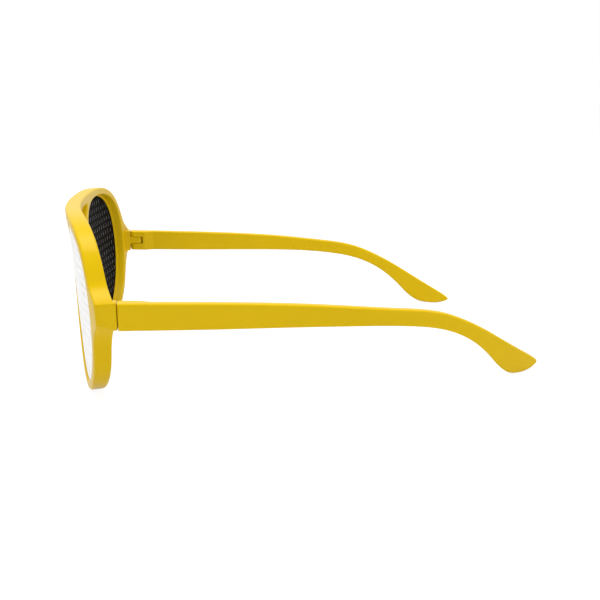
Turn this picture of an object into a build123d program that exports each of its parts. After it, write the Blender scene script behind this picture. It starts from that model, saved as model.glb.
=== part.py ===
from build123d import *
import os
from math import asin, atan2, cos, degrees, radians, sin, sqrt

# Pinhole glasses: a double-bridge frame, two perforated plates in place of lenses, two folding temples.
# Millimetres. +X is the wearer's left, the front faces -Y, +Z is up. The origin is under the middle of
# the open glasses, on the surface where the rims and the temple tips rest.

# Front, in the usual eyewear sizes: lens opening, gap between the lenses, wrap and tilt
lens_width = 56.6
lens_height = 50.9
lens_gap = 17.1
rim_width = 2.8
rim_depth = 5.2
wrap_radius = 240.0
front_tilt = 3.0

# Bridge: a straight brow bar above a window, and the lower bridge over the nose
brow_rise = 3.5
brow_bar_width = 3.2
window_height = 10.45
window_corner_radius = 0.8
lower_bridge_width = 3.2
lower_bridge_sag = 0.85

# Nose pads, moulded on the back of the rims
pad_length = 10.5
pad_width = 2.5
pad_reach = 2.2
pad_draft = 12.0

# Perforated plates and the groove that holds them
plate_thickness = 1.1
plate_recess = 0.6
groove_depth = 0.9
groove_play = 0.05
plate_play = 0.15
lip_depth = 0.5
lip_width = 0.5
pinhole_pitch = 3.18
pinhole_width = 1.15
pinhole_margin = 0.75

# End pieces and temples
end_width = 7.85
end_thickness = 4.6
end_sink = 3.0
hinge_height = 8.4
hinge_rise = 27.7
seam_setback = 19.0
seam_gap = 0.3
temple_length = 140.0
temple_thickness = 3.0
temple_straight = 62.4
temple_draw_in = 1.3
temple_bend_radius = 165.0
hinge_block_length = 6.2
hinge_block_taper = 4.2

# Hinges: a tongue on the front, two ears on the temple and a headed pin
hinge_setback = 3.3
hinge_inset = 2.7
ear_corner_radius = 1.6
tongue_height = 2.8
tongue_radius = 1.75
tongue_play = 0.15
pin_radius = 0.75
pin_play = 0.04
pin_head_radius = 1.3
pin_head_height = 0.6
pin_head_setback = 0.35
pin_end_setback = 0.7

overrun = 2.0

# The lens opening from its centre, in shares of half its width and half its height
opening_shares = [
    (-0.06, 1.0),
    (0.35, 0.97),
    (0.70, 0.847),
    (0.887, 0.657),
    (0.979, 0.399),
    (1.0, 0.107),
    (0.949, -0.249),
    (0.780, -0.637),
    (0.523, -0.893),
    (0.165, -1.0),
    (-0.202, -0.884),
    (-0.531, -0.625),
    (-0.792, -0.242),
    (-0.935, 0.076),
    (-1.0, 0.414),
    (-0.931, 0.708),
    (-0.685, 0.898),
    (-0.42, 0.975),
]
# Contours beside the opening: a share of the way round it, and a share of the rim width out from it
brow_shares = [
    (0.025, 1.17),
    (0.075, 1.13),
    (0.125, 1.14),
    (0.16, 1.15),
    (0.20, 1.13),
    (0.218, 1.47),
    (0.233, 2.42),
]
rim_shares = [
    (0.277, 2.45),
    (0.290, 1.70),
    (0.308, 1.17),
    (0.35, 1.07),
    (0.40, 1.10),
    (0.45, 1.04),
    (0.49, 1.0),
    (0.55, 1.06),
    (0.60, 1.08),
    (0.65, 1.10),
    (0.70, 1.15),
    (0.75, 1.05),
    (0.775, 1.06),
    (0.79, 1.30),
]
window_shares = [
    (0.875, 1.12),
    (0.85, 1.09),
    (0.825, 1.24),
]
# The straight part of the brow, of the lens width
brow_flat_share = 0.55
# The end piece's side: shares of its reach from the opening, and of half its height from the hinge
end_shares = [
    (0.987, 0.60),
    (1.0, 0.0),
    (0.981, -0.45),
]
# The nose pads' middle and the direction of their length, of the way round the opening
pad_place_share = 0.682
pad_out_share = 0.56
# A temple from the side: shares of its length, and of its top and foot heights at the hinge
temple_top_shares = [
    (0.21, 0.955),
    (0.492, 0.864),
    (0.605, 0.808),
    (0.678, 0.766),
    (0.729, 0.713),
    (0.774, 0.637),
    (0.831, 0.515),
    (0.891, 0.363),
    (0.956, 0.198),
    (0.99, 0.11),
]
temple_tip_share = 0.068
temple_foot_shares = [
    (0.981, 0.024),
    (0.943, 0.0),
    (0.913, 0.026),
    (0.887, 0.111),
    (0.856, 0.283),
    (0.825, 0.442),
    (0.797, 0.556),
    (0.765, 0.655),
    (0.715, 0.758),
    (0.640, 0.836),
    (0.489, 0.902),
    (0.2075, 0.954),
]

# Sizes worked out from them
half_width = lens_gap / 2 + lens_width + end_width
overall_length = seam_setback + temple_length
lens_x = (lens_gap + lens_width) / 2
lens_z = rim_width + lens_height / 2
front_height = rim_width + lens_height + brow_rise
hinge_z = rim_width + hinge_rise
temple_top = hinge_z + hinge_height / 2
temple_foot = hinge_z - hinge_height / 2
window_top = front_height - brow_bar_width
lower_bridge_top = window_top - window_height
nose_top = lower_bridge_top - lower_bridge_width
seam_y = seam_setback - overall_length / 2
hinge_x = half_width - hinge_inset
hinge_y = seam_y + hinge_setback
tilt_sin = sin(radians(front_tilt))
tilt_cos = cos(radians(front_tilt))


def wrap_sag(across, depth=0.0):
    """How far back the wrap is at a distance across from its middle, at a depth below its face."""
    return wrap_radius - sqrt((wrap_radius - depth) ** 2 - across**2)


# The front leans forward at its top. Its face plane looks forward, its plan plane looks up. They stand
# where the lowest edge of the rims is at Z = 0 and the brow bar is the foremost point.
rim_low_x = lens_x + min(opening_shares, key=lambda place: place[1])[0] * lens_width / 2
face_origin = (
    0,
    front_height * tilt_sin - overall_length / 2,
    -wrap_sag(rim_low_x) * tilt_sin,
)
face_plane = Plane(origin=face_origin, x_dir=(1, 0, 0), z_dir=(0, -tilt_cos, -tilt_sin))
plan_plane = Plane(origin=face_origin, x_dir=(1, 0, 0), z_dir=(0, -tilt_sin, tilt_cos))
plate_near = plate_recess + groove_play
plate_far = plate_near + plate_thickness
groove_far = plate_far + groove_play
wrap_reach = wrap_sag(half_width) + rim_depth + 6 * overrun

opening = Spline(
    *[(lens_x + x * lens_width / 2, lens_z + z * lens_height / 2) for x, z in opening_shares],
    periodic=True,
)


def beside(share, margin=0.0):
    """The point at a share of the way round the lens opening, out from it by a margin."""
    along = opening % share
    return opening @ share + Vector(-along.Y, along.X) * margin


def loop_beside(margin, count=30):
    """The closed face of the opening grown by a margin."""
    with BuildSketch(mode=Mode.PRIVATE) as grown:
        with BuildLine():
            Spline(*[beside(step / count, margin) for step in range(count)], periodic=True)
        make_face()
    return grown.sketch


def curved_plate(outline, near, far, folds=()):
    """The outline's prism on the face plane, kept between two depths of the wrap.

    With folds, the wrap is made of flat strips that meet at those distances across."""
    with BuildPart(mode=Mode.PRIVATE) as plate:
        with BuildSketch(face_plane.offset(2 * overrun)):
            add(outline)
        extrude(amount=-wrap_reach)
        with BuildSketch(plan_plane.offset(-overrun)):
            if folds:
                with BuildLine():
                    Polyline(
                        *[(across, wrap_sag(across, near)) for across in folds],
                        *[(across, wrap_sag(across, far)) for across in reversed(folds)],
                        close=True,
                    )
                make_face()
            else:
                with Locations((0, wrap_radius)):
                    Circle(wrap_radius - near)
                    Circle(wrap_radius - far, mode=Mode.SUBTRACT)
        extrude(amount=front_height + 2 * overrun, mode=Mode.INTERSECT)
    return plate.part


# Front outline, from the end piece down round the rim to the nose arch, and from the bridge to the end
# piece, with the other side mirrored
end_points = [
    Vector(half_width - (1 - reach) * end_width, hinge_z + rise * hinge_height / 2)
    for reach, rise in end_shares
]
upper_side = [
    Vector(brow_flat_share * lens_width / 2, front_height),
    Vector(brow_flat_share * lens_width, front_height),
    *[beside(share, out * rim_width) for share, out in brow_shares],
    *end_points[:-1],
]
lower_side = [end_points[-1], *[beside(share, out * rim_width) for share, out in rim_shares]]
with BuildSketch() as front_outline:
    with BuildLine():
        Spline(
            *lower_side,
            (0, nose_top),
            *[Vector(-point.X, point.Y) for point in reversed(upper_side + lower_side)],
            (0, front_height),
            *upper_side,
            periodic=True,
        )
    make_face()

# The window between the brow bar and the lower bridge
window_side = [beside(share, out * rim_width) for share, out in window_shares]
window_foot = Vector(window_side[-1].X - lower_bridge_sag, lower_bridge_top - lower_bridge_sag)
window_head = Vector(window_side[0].X + lower_bridge_sag, window_top)
with BuildSketch() as window_outline:
    with BuildLine():
        window_edge = Spline(window_head, *window_side, window_foot)
        Line((0, window_top), window_head)
        mirror(about=Plane.YZ)
        ThreePointArc(window_foot, (0, lower_bridge_top), (-window_foot.X, window_foot.Y))
    make_face()
    fillet(window_outline.vertices().filter_by(lambda corner: corner.X != 0), window_corner_radius)

# The openings, grooves and back reliefs, each cut between its own depths of the wrap
front_cuts = [curved_plate(window_outline.sketch, -overrun, rim_depth + overrun)]
for margin, near, far in (
    (0, -overrun, rim_depth + overrun),
    (groove_depth, plate_recess, groove_far),
    (lip_width, groove_far + lip_depth, rim_depth + overrun),
):
    cut = curved_plate(loop_beside(margin), near, far)
    front_cuts += [cut, mirror(cut, about=Plane.YZ)]

# A nose pad stands on the back of the rim, along it
pad_middle = beside(pad_place_share, pad_out_share * rim_width)
pad_along = opening % pad_place_share
pad_angle = degrees(atan2(pad_along.Y, pad_along.X))
pad_root = rim_depth + wrap_sag(pad_middle.X)
with BuildPart() as nose_pad:
    with BuildSketch(face_plane.offset(overrun - pad_root)):
        with Locations(Location(pad_middle, pad_angle)):
            SlotOverall(pad_length, pad_width)
    extrude(amount=-pad_reach - overrun, taper=pad_draft)

end_y = seam_y - seam_gap
end_depth = wrap_sag(half_width, rim_depth)
with BuildPart() as frame_front:
    with BuildSketch(face_plane.offset(2 * overrun)):
        add(front_outline.sketch)
    extrude(amount=-wrap_reach)
    # The wrap seen from above, with a thicker block at each end
    with BuildSketch(plan_plane.offset(-overrun)):
        with Locations((0, wrap_radius)):
            Circle(wrap_radius)
            Circle(wrap_radius - rim_depth, mode=Mode.SUBTRACT)
        for side in (1, -1):
            with Locations((side * (half_width + (overrun - end_thickness) / 2), end_depth + overrun)):
                Rectangle(
                    end_thickness + overrun, end_sink + overrun, align=(Align.CENTER, Align.MAX)
                )
    extrude(amount=front_height + 2 * overrun, mode=Mode.INTERSECT)
    # The blocks end square, against the temples
    with BuildSketch(Plane.XZ.offset(-end_y)):
        with Locations((0, hinge_z)):
            Rectangle(2 * half_width + 2 * overrun, 2 * front_height)
    extrude(amount=-2 * end_depth, mode=Mode.SUBTRACT)
    # A tongue stands on the end of each, round the hinge axis
    with BuildSketch(Plane.XY.offset(hinge_z - tongue_height / 2)):
        for side in (1, -1):
            with Locations((side * hinge_x, hinge_y)):
                Circle(tongue_radius)
                Rectangle(2 * tongue_radius, hinge_y - end_y + end_sink / 2, align=(Align.CENTER, Align.MAX))
    extrude(amount=tongue_height)
    add(nose_pad.part)
    mirror(nose_pad.part, about=Plane.YZ)
    for cut in front_cuts:
        add(cut, mode=Mode.SUBTRACT)
    with Locations(*[(side * hinge_x, hinge_y, hinge_z) for side in (1, -1)]):
        Cylinder(pin_radius + pin_play, tongue_height + overrun, mode=Mode.SUBTRACT)

# Perforated plates: rows of holes, each row set half a pitch over from the next. The plates are bent in
# flat strips two pitches wide, with their folds between the holes.
plate_margin = groove_depth - plate_play
row_pitch = pinhole_pitch * sin(radians(60))
rows = int(lens_height / row_pitch)
columns = int(lens_width / pinhole_pitch)
pinhole_field = loop_beside(-pinhole_margin - pinhole_width / 2).face()
pinholes = []
for row in range(-rows, rows + 1):
    for column in range(-columns, columns + 1):
        place = Vector(lens_x + (column + row % 2 / 2) * pinhole_pitch, lens_z + row * row_pitch)
        if pinhole_field.is_inside(place):
            pinholes.append(place)
plate_folds = [lens_x + (strip + 1 / 4) * pinhole_pitch for strip in range(-columns, columns, 2)]
with BuildSketch() as plate_outline:
    add(loop_beside(plate_margin))
    with Locations(*pinholes):
        Rectangle(pinhole_width, pinhole_width, mode=Mode.SUBTRACT)
with BuildPart() as pinhole_lens_left:
    add(curved_plate(plate_outline.sketch, plate_near, plate_far, plate_folds))
with BuildPart() as pinhole_lens_right:
    mirror(pinhole_lens_left.part, about=Plane.YZ)

# Temples: the side view along the whole length, kept within the bent strip of the plan
side_points = [
    Vector(seam_y + along * temple_length, height * temple_top) for along, height in temple_top_shares
]
side_points.append(Vector(seam_y + temple_length, temple_tip_share * temple_top))
side_points += [
    Vector(seam_y + along * temple_length, height * temple_foot) for along, height in temple_foot_shares
]
bend_angle = degrees(asin((temple_length - temple_straight) / temple_bend_radius)) + front_tilt
slot_height = tongue_height + 2 * tongue_play
slot_radius = tongue_radius + tongue_play
pin_foot_z = temple_foot + pin_end_setback
pin_head_z = temple_top - pin_head_setback - pin_head_height
with BuildPart() as temple_left:
    with BuildSketch(Plane.YZ):
        with BuildLine():
            seam_edge = Line((seam_y, temple_foot), (seam_y, temple_top))
            Spline(seam_edge @ 1, *side_points, seam_edge @ 0)
        make_face()
    extrude(amount=half_width + overrun)
    with BuildSketch(Plane.XY.offset(-overrun)):
        with BuildLine():
            outer = Line((half_width, seam_y), (half_width - temple_draw_in, seam_y + temple_straight))
            JernArc(outer @ 1, outer % 1, temple_bend_radius, bend_angle)
            offset(amount=temple_thickness, side=Side.LEFT)
        make_face()
        with BuildLine():
            Polyline(
                (half_width - temple_thickness / 2, seam_y),
                (half_width - end_thickness, seam_y),
                (half_width - end_thickness, seam_y + hinge_block_length),
                (half_width - temple_thickness, seam_y + hinge_block_length + hinge_block_taper),
                (half_width - temple_thickness / 2, seam_y + hinge_block_length + hinge_block_taper),
                close=True,
            )
        make_face()
    extrude(amount=temple_top + 2 * overrun, mode=Mode.INTERSECT)
    # The inner corner is rounded, so that it swings past the end piece
    inner_corner = temple_left.edges().filter_by(Axis.Z).sort_by(Axis.Y).group_by(Axis.Y)[0].sort_by(Axis.X)[0]
    fillet(inner_corner, ear_corner_radius)
    # The slot between the ears is open to the front and to the inner side, where the tongue swings
    with BuildSketch(Plane.XY.offset(hinge_z - slot_height / 2)):
        with Locations((hinge_x, hinge_y)):
            Circle(slot_radius)
        for corner in ((hinge_x + slot_radius, hinge_y), (hinge_x, hinge_y + slot_radius)):
            with Locations(corner):
                Rectangle(2 * end_thickness, 2 * end_thickness, align=(Align.MAX, Align.MAX))
    extrude(amount=slot_height, mode=Mode.SUBTRACT)
    with BuildSketch(Plane.XY.offset(pin_foot_z)):
        with Locations((hinge_x, hinge_y)):
            Circle(pin_radius + pin_play)
    extrude(amount=hinge_height, mode=Mode.SUBTRACT)
    with BuildSketch(Plane.XY.offset(pin_head_z)):
        with Locations((hinge_x, hinge_y)):
            Circle(pin_head_radius + pin_play)
    extrude(amount=hinge_height, mode=Mode.SUBTRACT)
with BuildPart() as temple_right:
    mirror(temple_left.part, about=Plane.YZ)

# Hinge pins: a shank through both ears and the tongue, its head sunk in the upper ear
with BuildPart() as hinge_pin_left:
    with BuildSketch(Plane.XY.offset(pin_foot_z + pin_play)):
        with Locations((hinge_x, hinge_y)):
            Circle(pin_radius)
    extrude(amount=pin_head_z - pin_foot_z - pin_play)
    with BuildSketch(Plane.XY.offset(pin_head_z)):
        with Locations((hinge_x, hinge_y)):
            Circle(pin_head_radius)
    extrude(amount=pin_head_height)
with BuildPart() as hinge_pin_right:
    mirror(hinge_pin_left.part, about=Plane.YZ)

os.makedirs("parts", exist_ok=True)
for name, piece in (
    ("frame_front", frame_front),
    ("pinhole_lens_left", pinhole_lens_left),
    ("pinhole_lens_right", pinhole_lens_right),
    ("temple_left", temple_left),
    ("temple_right", temple_right),
    ("hinge_pin_left", hinge_pin_left),
    ("hinge_pin_right", hinge_pin_right),
):
    piece.part.label = name
    export_step(piece.part, f"parts/{name}.step")
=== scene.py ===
from math import cos, pi, radians, sin, sqrt, tan

import bmesh
import bpy
import numpy as np
from mathutils import Matrix, Vector


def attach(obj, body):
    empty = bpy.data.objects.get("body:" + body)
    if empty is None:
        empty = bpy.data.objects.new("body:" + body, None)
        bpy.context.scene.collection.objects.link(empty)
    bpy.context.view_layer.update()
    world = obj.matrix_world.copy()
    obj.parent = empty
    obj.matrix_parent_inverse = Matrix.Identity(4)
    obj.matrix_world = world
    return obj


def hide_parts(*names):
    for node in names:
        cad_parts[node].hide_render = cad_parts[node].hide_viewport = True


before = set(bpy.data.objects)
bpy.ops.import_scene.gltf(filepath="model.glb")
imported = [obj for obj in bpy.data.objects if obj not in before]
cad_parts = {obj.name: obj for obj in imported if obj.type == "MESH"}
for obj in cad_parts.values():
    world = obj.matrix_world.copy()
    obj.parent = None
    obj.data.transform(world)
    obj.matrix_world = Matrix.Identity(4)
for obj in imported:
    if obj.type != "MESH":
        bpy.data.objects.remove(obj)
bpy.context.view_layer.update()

# Pinhole glasses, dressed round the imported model. The shapes are worked out in millimetres and
# scaled to metres when a piece is made. +X is the wearer's left, the front faces -Y, +Z is up.
METRES = 0.001

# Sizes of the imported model
lens_width = 56.6
lens_height = 50.9
lens_gap = 17.1
rim_width = 2.8
rim_depth = 5.2
wrap_radius = 240.0
front_tilt = radians(3.0)
brow_rise = 3.5
brow_bar_width = 3.2
window_height = 10.45
window_corner_radius = 0.8
lower_bridge_width = 3.2
lower_bridge_sag = 0.85
pad_length = 10.5
pad_width = 2.5
pad_reach = 2.2
plate_thickness = 1.1
plate_recess = 0.6
groove_depth = 0.9
groove_play = 0.05
plate_play = 0.15
lip_depth = 0.5
lip_width = 0.5
pinhole_pitch = 3.18
pinhole_margin = 0.75
pinhole_width = 1.15
end_width = 7.85
end_thickness = 4.6
end_sink = 3.0
hinge_height = 8.4
hinge_rise = 27.7
seam_setback = 19.0
seam_gap = 0.3
temple_length = 140.0
temple_thickness = 3.0
temple_straight = 62.4
temple_draw_in = 1.3
temple_bend_radius = 165.0
hinge_block_length = 6.2
hinge_block_taper = 4.2
hinge_setback = 3.3
hinge_inset = 2.7
ear_corner_radius = 1.6
tongue_height = 2.8
tongue_radius = 1.75
tongue_play = 0.15
pin_radius = 0.75
pin_play = 0.04
pin_head_radius = 1.3
pin_head_height = 0.6
pin_head_setback = 0.35
pin_end_setback = 0.7

# The lens opening, in shares of half its width and height from its middle
opening_shares = [
    (-0.06, 1.0), (0.35, 0.97), (0.70, 0.847), (0.887, 0.657), (0.979, 0.399), (1.0, 0.107),
    (0.949, -0.249), (0.780, -0.637), (0.523, -0.893), (0.165, -1.0), (-0.202, -0.884),
    (-0.531, -0.625), (-0.792, -0.242), (-0.935, 0.076), (-1.0, 0.414), (-0.931, 0.708),
    (-0.685, 0.898), (-0.42, 0.975),
]
# Points beside the opening: the share of the way round it, and how many rim widths out
brow_shares = [
    (0.025, 1.17), (0.075, 1.13), (0.125, 1.14), (0.16, 1.15), (0.20, 1.13), (0.218, 1.47), (0.233, 2.42),
]
rim_shares = [
    (0.290, 1.70), (0.308, 1.17), (0.35, 1.07), (0.40, 1.10), (0.45, 1.04), (0.49, 1.0), (0.55, 1.06),
    (0.60, 1.08), (0.65, 1.10), (0.70, 1.15), (0.75, 1.05), (0.775, 1.06), (0.79, 1.30),
]
window_shares = [(0.875, 1.12), (0.85, 1.09), (0.825, 1.24)]
brow_flat_share = 0.55
pad_place_share = 0.682
pad_out_share = 0.56
# The temples' side view, in shares of their length and of the height of their top or foot
temple_top_shares = [
    (0.21, 0.955), (0.492, 0.864), (0.605, 0.808), (0.678, 0.766), (0.729, 0.713), (0.774, 0.637),
    (0.831, 0.515), (0.891, 0.363), (0.956, 0.198), (0.99, 0.11),
]
temple_tip_share = 0.068
temple_foot_shares = [
    (0.981, 0.024), (0.943, 0.0), (0.913, 0.026), (0.887, 0.111), (0.856, 0.283), (0.825, 0.442),
    (0.797, 0.556), (0.765, 0.655), (0.715, 0.758), (0.640, 0.836), (0.489, 0.902), (0.2075, 0.954),
]

half_width = lens_gap / 2 + lens_width + end_width
overall_length = seam_setback + temple_length
lens_x = (lens_gap + lens_width) / 2
lens_z = rim_width + lens_height / 2
front_height = rim_width + lens_height + brow_rise
hinge_z = rim_width + hinge_rise
temple_top = hinge_z + hinge_height / 2
temple_foot = hinge_z - hinge_height / 2
window_top = front_height - brow_bar_width
lower_bridge_top = window_top - window_height
nose_top = lower_bridge_top - lower_bridge_width
seam_y = seam_setback - overall_length / 2
end_y = seam_y - seam_gap
hinge_x = half_width - hinge_inset
hinge_y = seam_y + hinge_setback
plate_near = plate_recess + groove_play
plate_far = plate_near + plate_thickness
groove_far = plate_far + groove_play
block_x = half_width - end_thickness

# Finish of the edges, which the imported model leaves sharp
front_round = 0.75
front_inner_round = 0.55
rear_round = 0.8
rear_foot_round = 1.6
rear_inner_round = 0.5
# At the foot of the rims the rear edge gets rounder, from the upper of these heights to the lower
rear_foot_heights = (2.0, 14.0)
temple_round = 0.65
seam_round = 0.16
lip_round = 0.28
tongue_chamfer = 0.12
plate_chamfer = 0.1

# The end pieces: how high they reach in front and behind, their corners' radii, and the stretch
# over which the rims' edges turn into theirs
end_face_top = 34.2
end_face_foot = 27.7
end_top_round = 0.6
end_foot_round = 1.3
end_back_top = 34.05
end_back_foot = 25.66
end_back_top_round = 0.3
end_back_foot_round = 1.1
end_back_ledge = 1.7
end_front_round = 0.5
end_fade = 5.0

# The blocks behind the end pieces: the short stretches over which they end sideways and up or
# down, and the groove round the seam. Inside the groove the block closes the gap to the temple.
block_middle = (end_back_top + end_back_foot) / 2
block_blend = 0.08
block_fade = (0.10, 0.16)
block_slices = (0.08, 0.18)
seam_closing = 0.25
seam_groove = 0.9

# The nose pads: how far each ring is from the pad's spine and how high it stands, and how the
# pad falls to its ends
pad_profile = [
    (1.7, -1.2), (1.6, -0.35), (1.37, -0.05), (1.2, 0.1), (1.08, 0.3), (0.98, 0.6), (0.9, 0.95),
    (0.83, 1.3), (0.75, 1.6), (0.64, 1.84), (0.5, 2.02), (0.34, 2.13), (0.17, 2.18), (0, pad_reach),
]
pad_fall = 0.78
pad_fall_power = 2.5

# The plates' holes, which are round here and flared by so many bevels behind, and the depth of
# the white film
pinhole_radius = 0.62
pinhole_bevel = 0.07
pinhole_flare = 1.3
film_depth = 0.6

# The pins' ends, and their heads' crown as insets and drops
pin_chamfer = 0.14
pin_crown = [(0, 0.28), (0.06, 0.14), (0.2, 0.05)]

# How finely curves and faces are divided
curve_fineness = 80
fewest_steps = 8
fine_step = 0.02
contour_step = 0.6
flank_step = 1.4
plate_step = 1.0
slice_step = 2.0
temple_slice_start = 12.5
brow_count = 300
brow_clear = 1
rim_count = 560
rim_clear = 3
window_clear = 2
side_count = 8
arch_count = 14
bar_count = 16
turn_count = 25
cell_turn = 15.0
field_stride = 20
pad_end_count = 13
pad_side_count = 17
ear_steps = 6

# Points closer than these become one, and places are compared to within a hair
weld = 0.0005
spine_weld = 0.0001
slice_weld = 0.001
cell_weld = 0.01
hair = 0.01


# Curves

def smooth_curve(points, spacing=1.0, closed=True, count=0):
    """Evenly spaced points along the smooth curve through the given ones, at a spacing or a count."""
    knots = np.array(points, float)
    if closed:
        knots = np.vstack([knots, knots[:1]])
    steps = np.linalg.norm(np.diff(knots, axis=0), axis=1)
    chords = np.diff(knots, axis=0) / steps[:, None]
    # The slopes at the points, with which the stretches between them meet evenly
    size = len(knots)
    law = np.zeros((size, size))
    pull = np.zeros((size, 2))
    for number in range(1, size - 1):
        before, after = steps[number - 1], steps[number]
        law[number, number - 1 : number + 2] = 1 / before, 2 / before + 2 / after, 1 / after
        pull[number] = 3 * (chords[number - 1] / before + chords[number] / after)
    if closed:
        law[0, 0], law[0, -1] = 1, -1
        law[-1, -2], law[-1, 1] = 1 / steps[-1], 1 / steps[0]
        law[-1, -1] = 2 / steps[-1] + 2 / steps[0]
        pull[-1] = 3 * (chords[-1] / steps[-1] + chords[0] / steps[0])
    else:
        law[0, :2], law[-1, -2:] = (2, 1), (1, 2)
        pull[0], pull[-1] = 3 * chords[0], 3 * chords[-1]
    slopes = np.linalg.solve(law, pull)
    share = np.linspace(0, 1, curve_fineness)[:-1, None]
    fine = [
        (2 * share**3 - 3 * share**2 + 1) * knots[number]
        + (share**3 - 2 * share**2 + share) * steps[number] * slopes[number]
        + (3 * share**2 - 2 * share**3) * knots[number + 1]
        + (share**3 - share**2) * steps[number] * slopes[number + 1]
        for number in range(size - 1)
    ]
    fine = np.vstack([*fine, knots[-1:]])
    run = np.concatenate([[0], np.cumsum(np.linalg.norm(np.diff(fine, axis=0), axis=1))])
    count = count or max(int(round(run[-1] / spacing)), fewest_steps)
    places = np.linspace(0, run[-1], count + 1)
    if closed:
        places = places[:-1]
    return np.stack([np.interp(places, run, fine[:, 0]), np.interp(places, run, fine[:, 1])], 1)


def outward(points, closed=True):
    """Unit vectors square to a clockwise curve, away from its inside."""
    if closed:
        along = np.roll(points, -1, 0) - np.roll(points, 1, 0)
    else:
        along = np.gradient(points, axis=0)
    along = along / np.linalg.norm(along, axis=1)[:, None]
    return np.stack([-along[:, 1], along[:, 0]], 1)


opening_points = [(lens_x + x * lens_width / 2, lens_z + z * lens_height / 2) for x, z in opening_shares]
fine_opening = smooth_curve(opening_points, fine_step)
fine_outward = outward(fine_opening)


def beside(share, margin=0.0):
    """The point at a share of the way round the lens opening, out from it by a margin."""
    number = int(round(share * len(fine_opening))) % len(fine_opening)
    return tuple(fine_opening[number] + fine_outward[number] * margin)


def mirrored(points):
    """The same clockwise curve on the other side."""
    return points[::-1] * (-1, 1)


def across_the_middle(points):
    """A list of points on the other side, from its last to its first."""
    return [(-x, z) for x, z in reversed(points)]


def rounded_corner(before, corner, after, radius, steps=6):
    """Points of the arc that rounds a corner."""
    before, corner, after = (np.array(point, float) for point in (before, corner, after))
    to_before = (before - corner) / np.linalg.norm(before - corner)
    to_after = (after - corner) / np.linalg.norm(after - corner)
    half = np.arccos(np.clip(to_before @ to_after, -1, 1)) / 2
    middle = (to_before + to_after) / np.linalg.norm(to_before + to_after)
    centre = corner + middle * radius / sin(half)
    first = corner + to_before * radius / tan(half) - centre
    last = corner + to_after * radius / tan(half) - centre
    start, turn = np.arctan2(first[1], first[0]), np.arctan2(last[1], last[0])
    turn = (turn - start + pi) % (2 * pi) - pi
    angles = [start + turn * step / steps for step in range(steps + 1)]
    return [tuple(centre + radius * np.array([cos(angle), sin(angle)])) for angle in angles]


def front_contour(top, foot, top_radius, foot_radius, ledge=()):
    """The outside of the front, with an upright side between two corners at each end piece.
    A ledge is more points of the foot, before the rim."""
    flat = brow_flat_share * lens_width
    brow = [(flat / 2, front_height), (flat, front_height)]
    brow += [beside(share, out * rim_width) for share, out in brow_shares]
    rim = [beside(share, out * rim_width) for share, out in rim_shares]
    top, foot = (half_width, top), (half_width, foot)
    upper_points = [*brow, top]
    lower_points = [foot, *ledge, *rim]
    upper_points = [*across_the_middle(upper_points), (0, front_height), *upper_points]
    lower_points = [*lower_points, (0, nose_top), *across_the_middle(lower_points)]
    upper = smooth_curve(upper_points, count=brow_count, closed=False)
    lower = smooth_curve(lower_points, count=rim_count, closed=False)
    # The curves' own points start clear of the arcs
    upper, lower = upper[brow_clear:-brow_clear], lower[rim_clear:-rim_clear]
    top_arc = rounded_corner(upper[-1], top, foot, top_radius)
    foot_arc = rounded_corner(top, foot, lower[0], foot_radius)
    side = [tuple(point) for point in np.linspace(top_arc[-1], foot_arc[0], side_count)[1:-1]]
    end = np.array([*top_arc, *side, *foot_arc])
    return np.vstack([upper, end, lower, mirrored(end)])


def window_contour():
    """The window between the brow bar and the lower bridge."""
    side = [beside(share, out * rim_width) for share, out in window_shares]
    foot = (side[-1][0] - lower_bridge_sag, lower_bridge_top - lower_bridge_sag)
    head = (side[0][0] + lower_bridge_sag, window_top)
    flank = smooth_curve([head, *side, foot], flank_step, closed=False)
    # The lower bridge's top is an arc through the foot and the middle
    half, rise = foot[0], lower_bridge_top - foot[1]
    radius = (half**2 + rise**2) / (2 * rise)
    arch = [
        (x, lower_bridge_top - radius + sqrt(radius**2 - x**2))
        for x in np.linspace(half, -half, arch_count)
    ]
    right = [
        *rounded_corner((0, window_top), head, flank[1], window_corner_radius),
        *[tuple(point) for point in flank[window_clear:-window_clear]],
        *rounded_corner(flank[-2], foot, arch[1], window_corner_radius),
    ]
    left = across_the_middle(right)
    bar = [(x, window_top) for x in np.linspace(left[-1][0], right[0][0], bar_count)[1:-1]]
    return np.array([*right, *arch[window_clear:-window_clear], *left, *bar])


# Mesh work

def quarter_round(radius, steps=4):
    """How far in from the side and how far below the face a rounded edge is, from the face down."""
    turns = [pi / 2 * step / steps for step in range(steps + 1)]
    return [(radius * (1 - sin(turn)), radius * (1 - cos(turn))) for turn in turns]


def ring(points, shifts, depth):
    """A contour moved by a shift at each point, at a depth."""
    places = points + shifts
    depths = np.broadcast_to(depth, len(points))
    return [(x, y, z) for (x, z), y in zip(places, depths)]


def build_wall(work, rings):
    """A closed wall through rings of (across, depth, height). Returns its first and last edges."""
    station = work.verts.layers.int.get("station") or work.verts.layers.int.new("station")
    verts = []
    for number, place in enumerate(rings[0]):
        vert = work.verts.new(place)
        vert[station] = number
        verts.append(vert)
    first = [work.edges.new(pair) for pair in zip([verts[-1], *verts], verts)]
    last = first
    for places in rings[1:]:
        made = bmesh.ops.extrude_edge_only(work, edges=last)["geom"]
        moved = {part for part in made if isinstance(part, bmesh.types.BMVert)}
        for vert in moved:
            vert.co = places[vert[station]]
        edges = [part for part in made if isinstance(part, bmesh.types.BMEdge)]
        last = [edge for edge in edges if edge.verts[0] in moved and edge.verts[1] in moved]
    return first, last


def fill(work, edges, normal=(0, -1, 0)):
    """Flat faces between closed edge loops."""
    made = bmesh.ops.triangle_fill(work, use_beauty=True, use_dissolve=False, edges=edges, normal=normal)
    return [part for part in made["geom"] if isinstance(part, bmesh.types.BMFace)]


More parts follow.
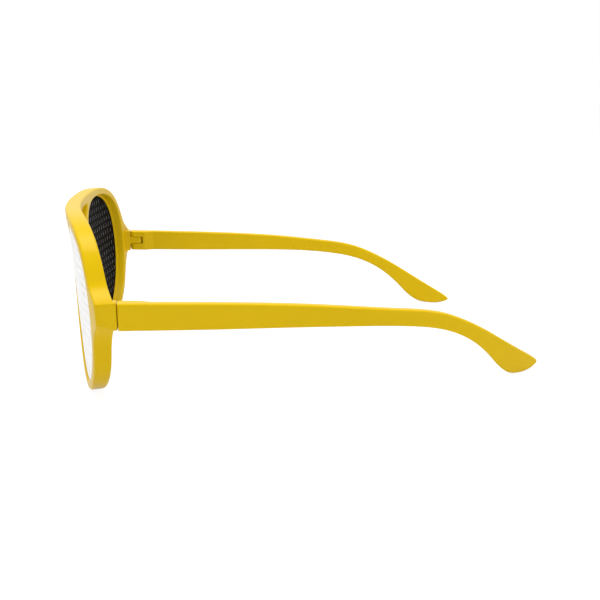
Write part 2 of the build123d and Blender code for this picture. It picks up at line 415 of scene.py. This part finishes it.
def with_edges(faces):
    """Faces with their edges and corners, each once and in the same order in each run."""
    edges = dict.fromkeys(edge for face in faces for edge in face.edges)
    return [*faces, *edges, *dict.fromkeys(vert for edge in edges for vert in edge.verts)]


def slice_across(work, geometry, places, axis=(1, 0, 0)):
    """Splits faces at distances along an axis, so that they can bend there."""
    for place in places:
        geometry = bmesh.ops.bisect_plane(
            work, geom=geometry, dist=slice_weld, plane_co=Vector(axis) * float(place), plane_no=axis
        )["geom"]
    return geometry


def wrap_sag(across, depth=0.0):
    """How far back the wrap is at a distance across from its middle, at a depth below its face."""
    return wrap_radius - sqrt((wrap_radius - depth) ** 2 - across**2)


rim_low_x = lens_x + min(opening_shares, key=lambda place: place[1])[0] * lens_width / 2
face_y = front_height * sin(front_tilt) - overall_length / 2
face_z = -wrap_sag(rim_low_x) * sin(front_tilt)


def wrap_verts(verts):
    """Bends flat work to the wrap."""
    for vert in verts:
        vert.co.y = wrap_sag(vert.co.x, vert.co.y)


def tilt_verts(work, verts):
    """Leans the front's work forward and sets it in its place."""
    bmesh.ops.rotate(work, verts=verts, cent=(0, 0, 0), matrix=Matrix.Rotation(front_tilt, 3, "X"))
    bmesh.ops.translate(work, verts=verts, vec=(0, face_y, face_z))


def fade(value, start, end):
    """From 0 at the start to 1 at the end, with soft ends."""
    share = np.clip((value - start) / (end - start), 0, 1)
    return share * share * (3 - 2 * share)


def make_piece(work, name):
    """An object of the work, in metres, with its faces turned outwards."""
    bmesh.ops.remove_doubles(work, verts=work.verts, dist=weld)
    bmesh.ops.recalc_face_normals(work, faces=work.faces)
    bmesh.ops.scale(work, verts=work.verts, vec=(METRES, METRES, METRES))
    mesh = bpy.data.meshes.new(name)
    work.to_mesh(mesh)
    work.free()
    piece = bpy.data.objects.new(name, mesh)
    bpy.context.scene.collection.objects.link(piece)
    return piece


def join_solid(piece, tool, operation):
    """Adds a tool's solid to a piece, or cuts it out, and removes the tool."""
    change = piece.modifiers.new("join", "BOOLEAN")
    change.object = tool
    change.operation = operation
    change.solver = "EXACT"
    seen = piece.evaluated_get(bpy.context.evaluated_depsgraph_get())
    mesh = bpy.data.meshes.new_from_object(seen)
    piece.modifiers.clear()
    mesh.name = piece.name
    piece.data = mesh
    bpy.data.objects.remove(tool)


def keep_flats(piece):
    """Keeps a piece's large flat faces flat in its smooth shading."""
    piece.modifiers.new("even_shade", "WEIGHTED_NORMAL").keep_sharp = True


def shade(piece, crease=radians(34)):
    """Smooth faces, with creases where they meet sharply and flat areas kept flat."""
    work = bmesh.new()
    work.from_mesh(piece.data)
    bmesh.ops.remove_doubles(work, verts=work.verts, dist=weld * METRES)
    # A join can leave out a sliver of a chamfer
    bmesh.ops.holes_fill(work, edges=[edge for edge in work.edges if edge.is_boundary], sides=4)
    for face in work.faces:
        face.smooth = True
    for edge in work.edges:
        edge.smooth = len(edge.link_faces) == 2 and edge.calc_face_angle(0) < crease
    work.to_mesh(piece.data)
    work.free()
    keep_flats(piece)


def copy_mirrored(piece, name):
    """The same piece for the other side."""
    work = bmesh.new()
    work.from_mesh(piece.data)
    bmesh.ops.scale(work, verts=work.verts, vec=(-1, 1, 1))
    bmesh.ops.reverse_faces(work, faces=work.faces)
    mesh = bpy.data.meshes.new(name)
    work.to_mesh(mesh)
    work.free()
    other = bpy.data.objects.new(name, mesh)
    bpy.context.scene.collection.objects.link(other)
    keep_flats(other)
    return other


def turned(profile, steps=32):
    """A solid turned about the upright axis from (radius, height) points."""
    work = bmesh.new()
    verts = [work.verts.new((radius, 0, height)) for radius, height in profile]
    edges = [work.edges.new(pair) for pair in zip(verts, verts[1:])]
    bmesh.ops.spin(
        work, geom=verts + edges, cent=(0, 0, 0), axis=(0, 0, 1), dvec=(0, 0, 0),
        angle=2 * pi, steps=steps, use_merge=True, use_duplicate=False,
    )
    bmesh.ops.remove_doubles(work, verts=work.verts, dist=weld)
    return work


# Front

def opening_rings(contour):
    """The edge of a lens opening: front edge, groove, lip and rear edge."""
    out = outward(contour)
    lip_far = groove_far + lip_depth
    steps = quarter_round(front_inner_round)
    steps += [(0, plate_recess), (groove_depth, plate_recess), (groove_depth, groove_far), (0, groove_far)]
    steps += [(inset, lip_far - depth) for inset, depth in reversed(quarter_round(lip_round, steps=3))]
    steps += [(lip_width, lip_far)]
    steps += [
        (lip_width + inset, rim_depth - depth) for inset, depth in reversed(quarter_round(rear_inner_round))
    ]
    return [ring(contour, out * margin, depth) for margin, depth in steps]


def window_rings(contour):
    """The edge of the window, rounded in front and behind."""
    out = outward(contour)
    steps = quarter_round(front_inner_round)
    steps += [(inset, rim_depth - depth) for inset, depth in reversed(quarter_round(rear_inner_round))]
    return [ring(contour, out * margin, depth) for margin, depth in steps]


def block_share(across, height):
    """1 where the end blocks stand behind the front, seen from ahead, and 0 elsewhere."""
    sideways = fade(np.abs(across), block_x - block_blend, block_x + block_blend)
    beyond = np.abs(height - block_middle) - hinge_height / 2
    return sideways * (1 - fade(beyond, *block_fade))


face_contour = front_contour(end_face_top, end_face_foot, end_top_round, end_foot_round)
back_contour = front_contour(
    end_back_top, end_back_foot, end_back_top_round, end_back_foot_round,
    ledge=[(half_width - end_back_ledge, end_back_foot)],
)


def outline_rings():
    """The outside of the front. Behind, the end pieces fill out to the temples, with crisp edges."""
    face, back = face_contour, back_contour
    at_end = fade(np.abs(face[:, 0]), block_x - end_fade, block_x)
    at_foot = 1 - fade(face[:, 1], *rear_foot_heights)
    near_radius = front_round * (1 - at_end) + end_front_round * at_end
    far_radius = rear_round * (1 - at_end) + seam_round * at_end + (rear_foot_round - rear_round) * at_foot
    rings = [
        ring(face, -outward(face) * (near_radius * inset)[:, None], near_radius * depth)
        for inset, depth in quarter_round(1.0)
    ]
    rings += [
        ring(back, -outward(back) * (far_radius * inset)[:, None], rim_depth - far_radius * depth)
        for inset, depth in reversed(quarter_round(1.0))
    ]
    return rings


def raise_blocks(flat, shares):
    """Brings the end blocks square behind the wrap, as far back as the temples. Inside the groove
    along their edges they close the seam. Takes the points' places before the wrap, and the
    outline's own shares."""
    inner_width = half_width - seam_groove + hair
    inner_height = hinge_height / 2 - seam_groove + hair
    for vert, (across, depth, height) in flat.items():
        share = shares[vert] if vert in shares else block_share(across, height)
        inner = abs(across) < inner_width and abs(height - block_middle) < inner_height
        raised = seam_closing if inner and depth > rim_depth - hair and vert not in shares else 0
        vert.co.y += float(share) * (end_y - (rim_depth - depth) + raised - vert.co.y)


def make_front():
    """The front moulding: the outline, the window and the openings, with the tongues and the pads."""
    work = bmesh.new()
    near, far = build_wall(work, outline_rings())
    station = work.verts.layers.int["station"]
    # A station of the outline is wholly on a block or wholly off it
    shares = {vert: block_share(*back_contour[vert[station]]) for vert in work.verts}
    opening = smooth_curve(opening_points, contour_step)
    for rings in (window_rings(window_contour()), opening_rings(opening), opening_rings(mirrored(opening))):
        first, last = build_wall(work, rings)
        near += first
        far += last
    slices = np.arange(-half_width, half_width, slice_step)
    slice_across(work, with_edges(fill(work, near)), slices)
    # The back is divided where the blocks and their grooves begin
    places = (block_x - block_blend, block_x + block_blend, half_width - seam_groove)
    across = [side * place for side in (-1, 1) for place in places]
    back = slice_across(work, with_edges(fill(work, far)), [*slices, *across])
    places = [hinge_height / 2 + step for step in (-seam_groove, *block_slices)]
    heights = [block_middle + way * place for way in (-1, 1) for place in places]
    slice_across(work, back, heights, axis=(0, 0, 1))
    flat = {vert: vert.co.copy() for vert in work.verts if vert.co.y > rim_depth / 2}
    wrap_verts(work.verts)
    tilt_verts(work, work.verts)
    raise_blocks(flat, shares)
    piece = make_piece(work, "front_moulding")
    for side in (1, -1):
        join_solid(piece, make_tongue(side), "UNION")
        join_solid(piece, make_nose_pad(side), "UNION")
    shade(piece)
    return piece


def make_tongue(side):
    """The hinge tongue on an end block, bored for its pin."""
    work = bmesh.new()
    root = end_sink / 2 + hinge_y - end_y
    turns = np.linspace(0, pi, turn_count)
    outline = [(tongue_radius * cos(turn), tongue_radius * sin(turn)) for turn in turns]
    outline += [(-tongue_radius, -root), (tongue_radius, -root)]
    outline = np.array(outline[::-1])
    turns = np.linspace(2 * pi, 0, turn_count)[1:]
    bore_radius = pin_radius + pin_play
    bore = np.array([(bore_radius * cos(turn), bore_radius * sin(turn)) for turn in turns])
    steps = [
        (tongue_chamfer, 0), (0, tongue_chamfer),
        (0, tongue_height - tongue_chamfer), (tongue_chamfer, tongue_height),
    ]
    near, far = [], []
    for contour, sign in ((outline, -1), (bore, 0)):
        out = outward(contour)
        first, last = build_wall(work, [ring(contour, sign * out * inset, depth) for inset, depth in steps])
        near += first
        far += last
    fill(work, near)
    fill(work, far)
    bmesh.ops.rotate(work, verts=work.verts, cent=(0, 0, 0), matrix=Matrix.Rotation(pi / 2, 3, "X"))
    bmesh.ops.scale(work, verts=work.verts, vec=(1, -1, 1))
    bmesh.ops.translate(
        work, verts=work.verts, vec=(side * hinge_x, hinge_y, hinge_z - tongue_height / 2)
    )
    return make_piece(work, "tongue")


def make_nose_pad(side):
    """A nose pad, flared into the back of the rim and rounded at its tip."""
    number = int(round(pad_place_share * len(fine_opening)))
    across = fine_outward[number]
    along = np.array([across[1], -across[0]])
    middle = fine_opening[number] + across * pad_out_share * rim_width
    straight = (pad_length - pad_width) / 2
    spine, out = [], []
    for end in (1, -1):
        for turn in np.linspace(pi / 2, -pi / 2, pad_end_count):
            spine.append(middle + along * straight * end)
            out.append((along * cos(turn) + across * sin(turn)) * end)
        for share in np.linspace(1, -1, pad_side_count)[1:-1]:
            spine.append(middle + along * straight * share * end)
            out.append(-across * end)
    spine, out = np.array(spine), np.array(out)
    root = rim_depth + wrap_sag(middle[0])
    work = bmesh.new()
    rings = []
    for distance, reach in pad_profile:
        # The pad sinks towards its two ends
        to_end = np.abs((spine + out * distance - middle) @ along) / (pad_length / 2)
        height = 1 - pad_fall * np.minimum(to_end, 1) ** pad_fall_power
        rings.append(ring(spine, out * distance, root + (reach * height if reach > 0 else reach)))
    near, far = build_wall(work, rings)
    fill(work, near)
    # The last ring lies on the spine and closes like a seam
    on_spine = list(dict.fromkeys(vert for edge in far for vert in edge.verts))
    bmesh.ops.remove_doubles(work, verts=on_spine, dist=spine_weld)
    if side < 0:
        bmesh.ops.scale(work, verts=work.verts, vec=(-1, 1, 1))
    tilt_verts(work, work.verts)
    return make_piece(work, "nose_pad")


# Perforated plates

def inside(points, polygon):
    """Which points are inside a polygon."""
    ahead = np.roll(polygon, -1, 0)
    result = np.zeros(len(points), bool)
    for (x0, z0), (x1, z1) in zip(polygon, ahead):
        crosses = (z0 > points[:, 1]) != (z1 > points[:, 1])
        with np.errstate(divide="ignore", invalid="ignore"):
            at = x0 + (points[:, 1] - z0) / (z1 - z0) * (x1 - x0)
        result ^= crosses & (points[:, 0] < at)
    return result


def pinhole_places():
    """Where the holes are: rows at a pitch, each row half a pitch over from the next."""
    field = (fine_opening - fine_outward * (pinhole_margin + pinhole_width / 2))[::field_stride]
    row_pitch = pinhole_pitch * sin(radians(60))
    rows = int(lens_height / row_pitch)
    columns = int(lens_width / pinhole_pitch)
    places = np.array([
        (lens_x + (column + row % 2 / 2) * pinhole_pitch, lens_z + row * row_pitch)
        for row in range(-rows, rows + 1)
        for column in range(-columns, columns + 1)
    ])
    return places[inside(places, field)]


def make_plate():
    """A plate in its groove: cells with a hole each, and the rim round them."""
    work = bmesh.new()
    turns = np.radians(np.arange(0, 360, cell_turn))
    unit = np.stack([np.cos(turns), np.sin(turns)], 1)
    # A cell is a hexagon of the plate with its hole, which fits against its neighbours
    cell_reach = pinhole_pitch / 2 / np.cos((turns + radians(30)) % radians(60) - radians(30))
    rings = [
        (cell_reach, plate_near),
        (pinhole_radius + pinhole_bevel, plate_near),
        (pinhole_radius, plate_near + pinhole_bevel),
        (pinhole_radius, plate_near + film_depth),
        (pinhole_radius, plate_far - pinhole_bevel),
        (pinhole_radius + pinhole_flare * pinhole_bevel, plate_far),
        (cell_reach, plate_far),
    ]
    shapes = [ring(unit * np.broadcast_to(reach, len(turns))[:, None], 0, depth) for reach, depth in rings]
    build_wall(work, shapes)
    cell = with_edges(list(work.faces))
    first_place, *places = pinhole_places()
    for x, z in places:
        made = bmesh.ops.duplicate(work, geom=cell)["geom"]
        verts = [part for part in made if isinstance(part, bmesh.types.BMVert)]
        bmesh.ops.translate(work, verts=verts, vec=(x, 0, z))
    first = [part for part in cell if isinstance(part, bmesh.types.BMVert)]
    bmesh.ops.translate(work, verts=first, vec=(first_place[0], 0, first_place[1]))
    bmesh.ops.remove_doubles(work, verts=work.verts, dist=cell_weld)
    loose = [edge for edge in work.edges if len(edge.link_faces) == 1]
    near = [edge for edge in loose if edge.verts[0].co.y < plate_near + hair]
    far = [edge for edge in loose if edge.verts[0].co.y > plate_far - hair]
    contour = smooth_curve(opening_points, plate_step)
    out = outward(contour)
    margin = groove_depth - plate_play
    steps = [
        (margin - plate_chamfer, plate_near), (margin, plate_near + plate_chamfer),
        (margin, plate_far - plate_chamfer), (margin - plate_chamfer, plate_far),
    ]
    first, last = build_wall(work, [ring(contour, out * reach, depth) for reach, depth in steps])
    fill(work, near + first)
    fill(work, far + last)
    # White in front, black behind, and round the rear of the holes and of the rim a paler grey: the punched
    # edge's own colour with a painted sheen
    for face in work.faces:
        depths = [vert.co.y for vert in face.verts]
        at_edge = min(depths) > plate_far - plate_chamfer - hair and max(depths) - min(depths) > hair
        face.material_index = 2 if at_edge else int(max(depths) > plate_near + film_depth + hair)
    wrap_verts(work.verts)
    tilt_verts(work, work.verts)
    piece = make_piece(work, "pinhole_plate_left")
    shade(piece)
    return piece


# Temples and pins

bend_y = seam_y + temple_straight
lean = np.array([-temple_draw_in, temple_straight]) / sqrt(temple_draw_in**2 + temple_straight**2)
inward = np.array([-lean[1], lean[0]])
bend_centre = np.array([half_width - temple_draw_in, bend_y]) + inward * temple_bend_radius


def temple_sides(along):
    """The outer and the inner side of a temple at a distance along."""
    if along < bend_y:
        outer = half_width - temple_draw_in * (along - seam_y) / temple_straight
        inner = outer - temple_thickness / lean[1]
    else:
        outer, inner = (
            bend_centre[0] + sqrt(radius**2 - (along - bend_centre[1]) ** 2)
            for radius in (temple_bend_radius, temple_bend_radius - temple_thickness)
        )
    from_seam = along - seam_y
    taper = np.clip((hinge_block_length + hinge_block_taper - from_seam) / hinge_block_taper, 0, 1)
    if taper > 0:
        inner = min(inner, half_width - temple_thickness - (end_thickness - temple_thickness) * taper)
    if from_seam < ear_corner_radius:
        inner += ear_corner_radius - sqrt(ear_corner_radius**2 - (ear_corner_radius - from_seam) ** 2)
    return outer, inner


def make_temple():
    """A temple with the two ears of its hinge, bored for the pin."""
    top = [(seam_y, temple_top)]
    top += [(seam_y + along * temple_length, height * temple_top) for along, height in temple_top_shares]
    tip = [(seam_y + temple_length, temple_tip_share * temple_top)]
    foot = [(seam_y + along * temple_length, height * temple_foot) for along, height in temple_foot_shares]
    foot += [(seam_y, temple_foot)]
    contour = smooth_curve(top + tip + foot, contour_step, closed=False)
    shifts = -outward(contour, closed=False) * temple_round
    shifts[0] = (seam_round, -temple_round)
    shifts[-1] = (seam_round, temple_round)
    rings = [
        ring(contour, shifts * inset, temple_round * depth) for inset, depth in quarter_round(1.0)
    ]
    rings += [
        ring(contour, shifts * inset, temple_thickness - temple_round * depth)
        for inset, depth in reversed(quarter_round(1.0))
    ]
    work = bmesh.new()
    near, far = build_wall(work, rings)
    faces = fill(work, near) + fill(work, far)
    slices = np.arange(temple_slice_start, temple_length - slice_step / 2, slice_step) + seam_y
    slice_across(work, with_edges(faces), slices)
    corner = [
        ear_corner_radius * (1 - cos(pi / 2 * step / ear_steps)) for step in range(1, ear_steps + 1)
    ]
    block = [hinge_block_length, hinge_block_length + hinge_block_taper]
    slice_across(work, with_edges(list(work.faces)), [seam_y + step for step in corner + block])
    for vert in work.verts:
        along, depth, height = vert.co
        outer, inner = temple_sides(max(along, seam_y))
        across = outer - depth if depth < temple_thickness / 2 else inner + temple_thickness - depth
        vert.co = (across, along, height)
    piece = make_piece(work, "temple_arm_left")
    join_solid(piece, make_slot_cutter(), "DIFFERENCE")
    join_solid(piece, make_bore_cutter(), "DIFFERENCE")
    shade(piece)
    return piece


def make_slot_cutter():
    """The room of the tongue between the ears, open to the front and to the inner side."""
    radius = tongue_radius + tongue_play
    reach = 2 * end_thickness
    turns = np.linspace(0, pi / 2, turn_count // 2 + 1)
    outline = [(hinge_x + radius - reach, hinge_y - reach), (hinge_x + radius, hinge_y - reach)]
    outline += [(hinge_x + radius * cos(turn), hinge_y + radius * sin(turn)) for turn in turns]
    outline += [(hinge_x + radius - reach, hinge_y + radius)]
    work = bmesh.new()
    low = hinge_z - tongue_height / 2 - tongue_play
    base = work.faces.new([work.verts.new((x, y, low)) for x, y in outline])
    made = bmesh.ops.extrude_face_region(work, geom=[base])["geom"]
    verts = [part for part in made if isinstance(part, bmesh.types.BMVert)]
    bmesh.ops.translate(work, verts=verts, vec=(0, 0, tongue_height + 2 * tongue_play))
    return make_piece(work, "slot_cutter")


pin_foot_z = temple_foot + pin_end_setback
pin_head_z = temple_top - pin_head_setback - pin_head_height


def make_bore_cutter():
    """The room of a pin. The plastic above the head closes over it."""
    shank = pin_radius + pin_play
    head = pin_head_radius + pin_play
    above = pin_head_z + pin_head_height + pin_play
    work = turned([
        (0, pin_foot_z), (shank, pin_foot_z), (shank, pin_head_z),
        (head, pin_head_z), (head, above), (0, above),
    ])
    bmesh.ops.translate(work, verts=work.verts, vec=(hinge_x, hinge_y, 0))
    return make_piece(work, "bore_cutter")


def make_pin():
    """A headed pin with a crowned head."""
    low = pin_foot_z + pin_play
    top = pin_head_z + pin_head_height
    profile = [
        (0, low), (pin_radius - pin_chamfer, low), (pin_radius, low + pin_chamfer),
        (pin_radius, pin_head_z), (pin_head_radius - pin_chamfer / 2, pin_head_z),
        (pin_head_radius, pin_head_z + pin_chamfer / 2),
    ]
    profile += [(pin_head_radius - inset, top - drop) for inset, drop in pin_crown]
    profile += [(pin_head_radius / 2, top), (0, top)]
    work = turned(profile)
    bmesh.ops.translate(work, verts=work.verts, vec=(hinge_x, hinge_y, 0))
    piece = make_piece(work, "hinge_rivet_left")
    shade(piece)
    return piece


# Finishes

def tone(red, green, blue):
    """A colour as it is seen, from 0 to 255, for a shader."""
    linear = [
        value / 255 / 12.92 if value < 10.3 else ((value / 255 + 0.055) / 1.055) ** 2.4
        for value in (red, green, blue)
    ]
    return (*linear, 1.0)


class Number:
    """A number in a material. Python's operators on it add Math nodes."""

    def __init__(self, finish, socket):
        self.finish = finish
        self.socket = socket

    def maths(self, operation, first, second):
        return self.finish.node("Math", {"operation": operation}, {0: first, 1: second})

    def __add__(self, other):
        return self.maths("ADD", self, other)

    def __mul__(self, other):
        return self.maths("MULTIPLY", self, other)

    __radd__ = __add__
    __rmul__ = __mul__


class Finish:
    """A material or a world made of nodes."""

    def __init__(self, owner):
        self.owner = owner
        owner.use_nodes = True
        self.tree = owner.node_tree
        self.tree.nodes.clear()

    def node(self, kind, settings=None, values=None, output=0):
        """A node with its settings, such as a ramp's two stops, and the values or links of its sockets."""
        made = self.tree.nodes.new("ShaderNode" + kind)
        for name, value in (settings or {}).items():
            if name == "stops":
                for element, (place, colour) in zip(made.color_ramp.elements, value):
                    element.position, element.color = place, colour
            else:
                setattr(made, name, value)
        for name, value in (values or {}).items():
            if isinstance(value, Number):
                self.tree.links.new(value.socket, made.inputs[name])
            else:
                made.inputs[name].default_value = value
        return Number(self, made.outputs[output]) if made.outputs else None

    def noise(self, place, scale, detail, roughness=0.5):
        """A cloudy pattern from 0 to 1."""
        return self.node("TexNoise", {}, {
            "Vector": place, "Scale": scale, "Detail": detail, "Roughness": roughness,
        })

    def between(self, share, first, second):
        """A colour between two others. The colour sockets have no names of their own."""
        return self.node(
            "Mix", {"data_type": "RGBA"}, {"Factor": share, 6: first, 7: second}, output=2
        )

    def ramp(self, value, *stops):
        """A value spread between two stops."""
        return self.node("ValToRGB", {"stops": stops}, {"Fac": value})

    def surface(self, shader):
        """The material, with this shader as its surface."""
        self.node("OutputMaterial", {}, {"Surface": shader})
        return self.owner


def new_finish(name):
    """A new material to fill."""
    return Finish(bpy.data.materials.new(name))


def gloss_yellow():
    """Moulded plastic: a clear gloss over a faint flow of colour and a fine orange peel."""
    finish = new_finish("gloss_yellow")
    place = finish.node("TexCoord", output="Object")
    flow = finish.noise(place, 45.0, 3.0)
    cloud = finish.noise(place, 400.0, 2.0)
    grain = finish.noise(place, 5200.0, 1.0)
    peel = finish.noise(place, 700.0, 1.5)
    scuff_place = finish.node("Mapping", {}, {"Vector": place, "Scale": (900.0, 60.0, 900.0)})
    scuffs = finish.noise(scuff_place, 1.0, 3.0, 0.7)
    scuffed = finish.ramp(scuffs, (0.62, (0, 0, 0, 1)), (0.74, (1, 1, 1, 1)))
    colour = finish.between(flow, tone(220, 184, 6), tone(212, 175, 4))
    rough = 0.28 + 0.06 * cloud + 0.03 * grain + 0.08 * scuffed
    bump = finish.node(
        "Bump", {}, {"Strength": 0.06, "Distance": 0.00004, "Height": peel + 0.05 * grain}
    )
    return finish.surface(finish.node("BsdfPrincipled", {}, {
        "Base Color": colour, "Roughness": rough, "Specular IOR Level": 0.10, "Normal": bump,
    }))


def white_print():
    """The white film on the front of the plates."""
    finish = new_finish("white_print")
    place = finish.node("TexCoord", output="Object")
    cloud = finish.noise(place, 180.0, 3.0)
    grain = finish.noise(place, 4200.0, 2.0)
    bump = finish.node("Bump", {}, {"Strength": 0.10, "Distance": 0.00002, "Height": grain})
    return finish.surface(finish.node("BsdfPrincipled", {}, {
        "Base Color": finish.between(cloud, tone(252, 252, 252), tone(247, 247, 246)),
        "Roughness": 0.42 + 0.12 * grain, "Specular IOR Level": 0.35, "Normal": bump,
    }))


def black_plate():
    """The black plastic of the plates, matte with a fine texture."""
    finish = new_finish("black_plate")
    place = finish.node("TexCoord", output="Object")
    cloud = finish.noise(place, 220.0, 3.0)
    grain = finish.noise(place, 3600.0, 2.0)
    bump = finish.node("Bump", {}, {"Strength": 0.18, "Distance": 0.00003, "Height": grain})
    return finish.surface(finish.node("BsdfPrincipled", {}, {
        "Base Color": finish.between(cloud, tone(9, 9, 10), tone(15, 15, 16)),
        "Roughness": 0.55 + 0.16 * grain, "Specular IOR Level": 0.02, "Normal": bump,
    }))


def burr_and_painted_sheen():
    """The rear edge of the holes and of the plate, paler grey: partly the punched plastic's own colour,
    partly a painted sheen where these chamfers catch the light.
    """
    finish = new_finish("burr_and_painted_sheen")
    place = finish.node("TexCoord", output="Object")
    grain = finish.noise(place, 2600.0, 3.0)
    # Painted sheen: the paler grey stands in for light off the rear chamfers, over the punched edge's own
    # colour
    return finish.surface(finish.node("BsdfPrincipled", {}, {
        "Base Color": finish.between(grain, tone(104, 104, 108), tone(146, 146, 152)),
        "Roughness": 0.5 + 0.2 * grain, "Specular IOR Level": 0.2,
    }))


def pin_steel():
    """Drawn steel wire, with a fine turned grain."""
    finish = new_finish("pin_steel")
    place = finish.node("TexCoord", output="Object")
    long_place = finish.node("Mapping", {}, {"Vector": place, "Scale": (1.0, 1.0, 14.0)})
    grain = finish.noise(long_place, 900.0, 3.0)
    bump = finish.node("Bump", {}, {"Strength": 0.2, "Distance": 0.00001, "Height": grain})
    return finish.surface(finish.node("BsdfPrincipled", {}, {
        "Base Color": finish.between(grain, tone(176, 176, 178), tone(150, 149, 148)),
        "Metallic": 1.0, "Roughness": 0.24 + 0.16 * grain, "Normal": bump,
    }))


def seen_directly(finish):
    """1 for rays from the camera, off a gloss or through glass."""
    kinds = ("Is Camera Ray", "Is Glossy Ray", "Is Transmission Ray")
    camera, gloss, glass = (finish.node("LightPath", output=kind) for kind in kinds)
    return camera + gloss + glass


def floor_white():
    """A pale floor that shows white and keeps a faint shadow."""
    finish = new_finish("floor_white")
    place = finish.node("TexCoord", output="Object")
    cloud = finish.noise(place, 3.0, 2.0)
    grey = finish.between(cloud, tone(228, 228, 228), tone(224, 224, 224))
    plain = finish.node("BsdfDiffuse", {}, {"Color": grey})
    lit = finish.node("Emission", {}, {"Color": tone(255, 255, 255), "Strength": 1.25})
    share = finish.node("Math", {"operation": "MINIMUM"}, {0: seen_directly(finish) * 0.72, 1: 0.72})
    return finish.surface(finish.node("MixShader", {}, {"Fac": share, 1: plain, 2: lit}))


# The object

yellow = gloss_yellow()
white = white_print()
black = black_plate()
burr_sheen = burr_and_painted_sheen()
steel = pin_steel()

front = make_front()
plate_left = make_plate()
arm_left = make_temple()
pin_left = make_pin()
plate_right = copy_mirrored(plate_left, "pinhole_plate_right")
arm_right = copy_mirrored(arm_left, "temple_arm_right")
pin_right = copy_mirrored(pin_left, "hinge_rivet_right")
pieces = [
    (front, "frame_front", "front", [yellow], "frame_plastic"),
    (plate_left, "pinhole_lens_left", "front", [white, black, burr_sheen], "plate_black"),
    (plate_right, "pinhole_lens_right", "front", [white, black, burr_sheen], "plate_black"),
    (arm_left, "temple_left", "left_temple", [yellow], "frame_plastic"),
    (arm_right, "temple_right", "right_temple", [yellow], "frame_plastic"),
    (pin_left, "hinge_pin_left", "left_temple", [steel], "pin_steel"),
    (pin_right, "hinge_pin_right", "right_temple", [steel], "pin_steel"),
]
for piece, node, body, finishes, slot in pieces:
    for finish in finishes:
        piece.data.materials.append(finish)
    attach(piece, body)
    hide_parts(node)

# Floor, light and camera

floor_reach = 6.0
floor_z = -0.0001
work = bmesh.new()
bmesh.ops.create_grid(work, x_segments=2, y_segments=2, size=floor_reach)
bmesh.ops.translate(work, verts=work.verts, vec=(0, 0, floor_z))
floor_mesh = bpy.data.meshes.new("floor")
work.to_mesh(floor_mesh)
work.free()
floor_mesh.materials.append(floor_white())
floor = bpy.data.objects.new("floor", floor_mesh)
bpy.context.scene.collection.objects.link(floor)

world = bpy.data.worlds.new("studio")
bpy.context.scene.world = world
sky = Finish(world)
ambient = sky.node("Background", {}, {"Color": tone(255, 255, 255), "Strength": 0.45})
backdrop = sky.node("Background", {}, {"Color": tone(255, 255, 255), "Strength": 1.0})
sky_share = sky.node("Math", {"operation": "MINIMUM"}, {0: seen_directly(sky), 1: 1.0})
studio_white = sky.node("MixShader", {}, {"Fac": sky_share, 1: ambient, 2: backdrop})
sky.node("OutputWorld", {}, {"Surface": studio_white})

light_target = (0, 0, 0.03)


def soft_light(name, place, size, power):
    """A round area lamp, turned to the object."""
    lamp = bpy.data.lights.new(name, "AREA")
    lamp.shape = "DISK"
    lamp.size = size
    lamp.energy = power
    holder = bpy.data.objects.new(name, lamp)
    bpy.context.scene.collection.objects.link(holder)
    holder.location = place
    holder.rotation_euler = (Vector(light_target) - Vector(place)).to_track_quat("-Z", "Y").to_euler()


soft_light("key", place=(0.05, -0.10, 1.15), size=0.90, power=13.5)
soft_light("side_fill", place=(0.90, 0.75, 0.45), size=0.80, power=3.0)
soft_light("front_fill", place=(0.25, -1.20, 0.30), size=0.80, power=1.8)

# The photograph's own viewpoint: from the wearer's left, a little in front and above
camera_place = (0.3295, -0.0466, 0.09385)
forward = Vector((-0.96398, 0.15823, -0.21384)).normalized()
right = Vector((0.16390, 0.98644, -0.00898)).normalized()
up = right.cross(forward).normalized()
right = forward.cross(up).normalized()
optics = bpy.data.cameras.new("camera")
optics.sensor_width = 36.0
optics.lens = 53.49
optics.shift_x = -0.0127
optics.shift_y = -0.0206
optics.clip_start = 0.01
camera = bpy.data.objects.new("camera", optics)
bpy.context.scene.collection.objects.link(camera)
camera.matrix_world = Matrix((right, up, -forward)).transposed().to_4x4()
camera.location = camera_place
bpy.context.scene.camera = camera
bpy.context.scene.view_settings.view_transform = "Standard"
